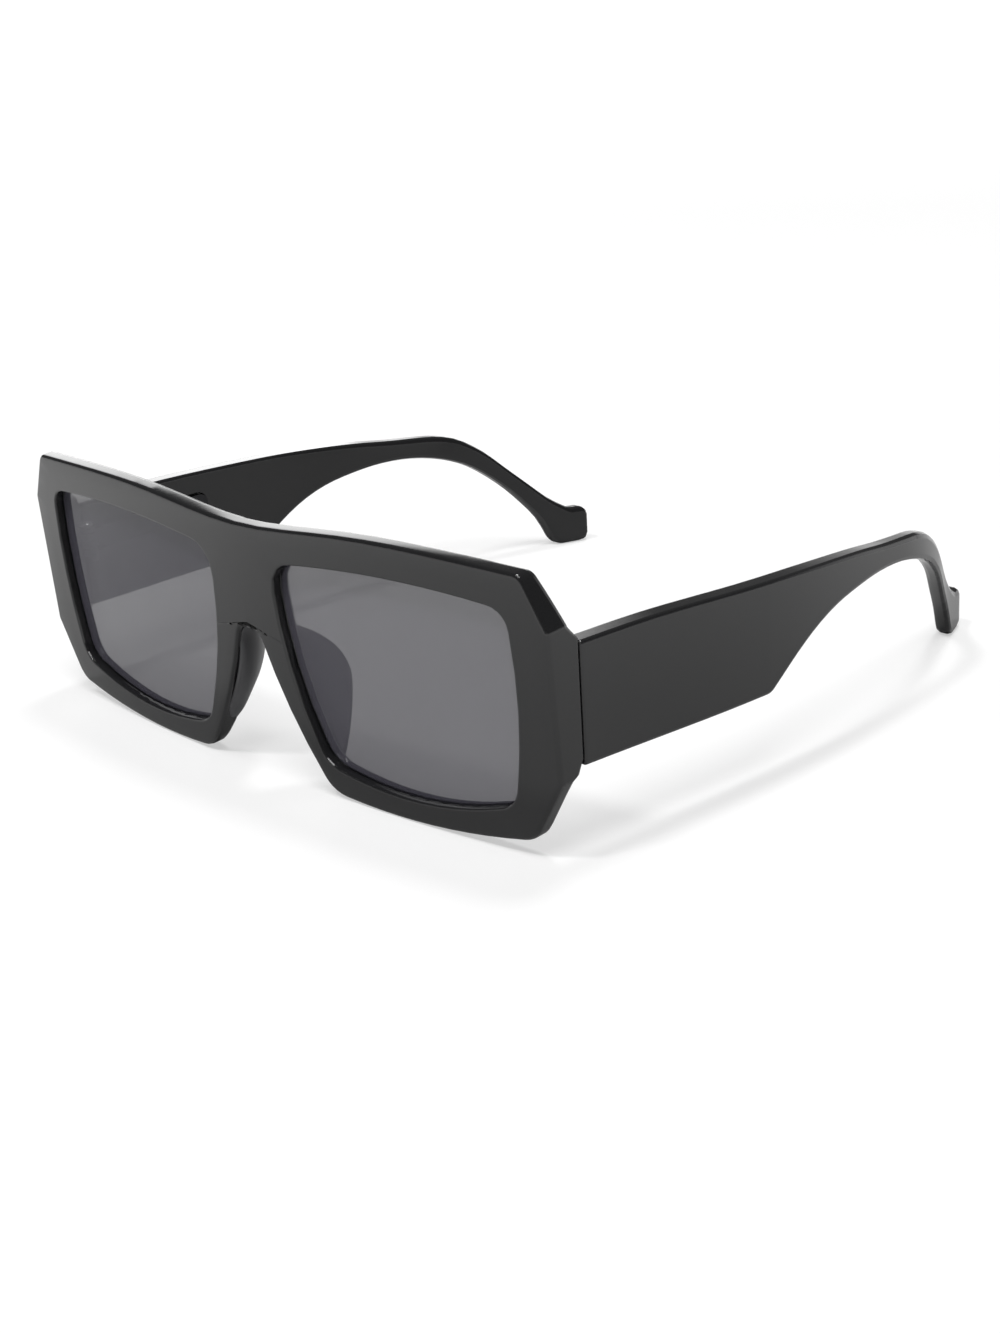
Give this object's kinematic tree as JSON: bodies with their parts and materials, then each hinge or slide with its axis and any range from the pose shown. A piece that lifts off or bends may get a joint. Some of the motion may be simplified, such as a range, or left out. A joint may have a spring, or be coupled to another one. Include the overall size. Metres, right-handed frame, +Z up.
{
  "type": "sunglasses",
  "caption": "Square sunglasses in thick glossy black plastic with smoke lenses, moulded nose pads and broad folding temples that narrow to hooked tips.",
  "frame": {"origin": "middle of the base of the bounding box, on the surface that the glasses stand on", "axes": "+X to the wearer's left, +Y from the front back along the temples, +Z up; the front faces -Y"},
  "size_m": [0.151, 0.148, 0.0526],
  "materials": {
    "plastic": "polished black",
    "lens": "clear smoke grey tint",
    "hinge_metal": "blackened satin",
    "screw_metal": "plain bright"
  },
  "bodies": {
    "front": {"front_frame": "plastic", "left_lens": "lens", "right_lens": "lens", "left_nose_pad": "plastic", "right_nose_pad": "plastic", "left_front_hinge": "hinge_metal", "right_front_hinge": "hinge_metal", "left_hinge_screw": "screw_metal", "right_hinge_screw": "screw_metal"},
    "left_temple": {"left_temple": "plastic", "left_temple_hinge": "hinge_metal", "left_core_wire": "screw_metal"},
    "right_temple": {"right_temple": "plastic", "right_temple_hinge": "hinge_metal", "right_core_wire": "screw_metal"}
  },
  "joints": [
    {"name": "left_temple_fold", "type": "hinge", "parent": "front", "child": "left_temple", "pos_m": [0.06695, -0.06107, 0.0311], "axis": [0, 0, 1], "range_deg": [0, 84]},
    {"name": "right_temple_fold", "type": "hinge", "parent": "front", "child": "right_temple", "pos_m": [-0.06695, -0.06107, 0.0311], "axis": [0, 0, -1], "range_deg": [0, 68]}
  ]
}
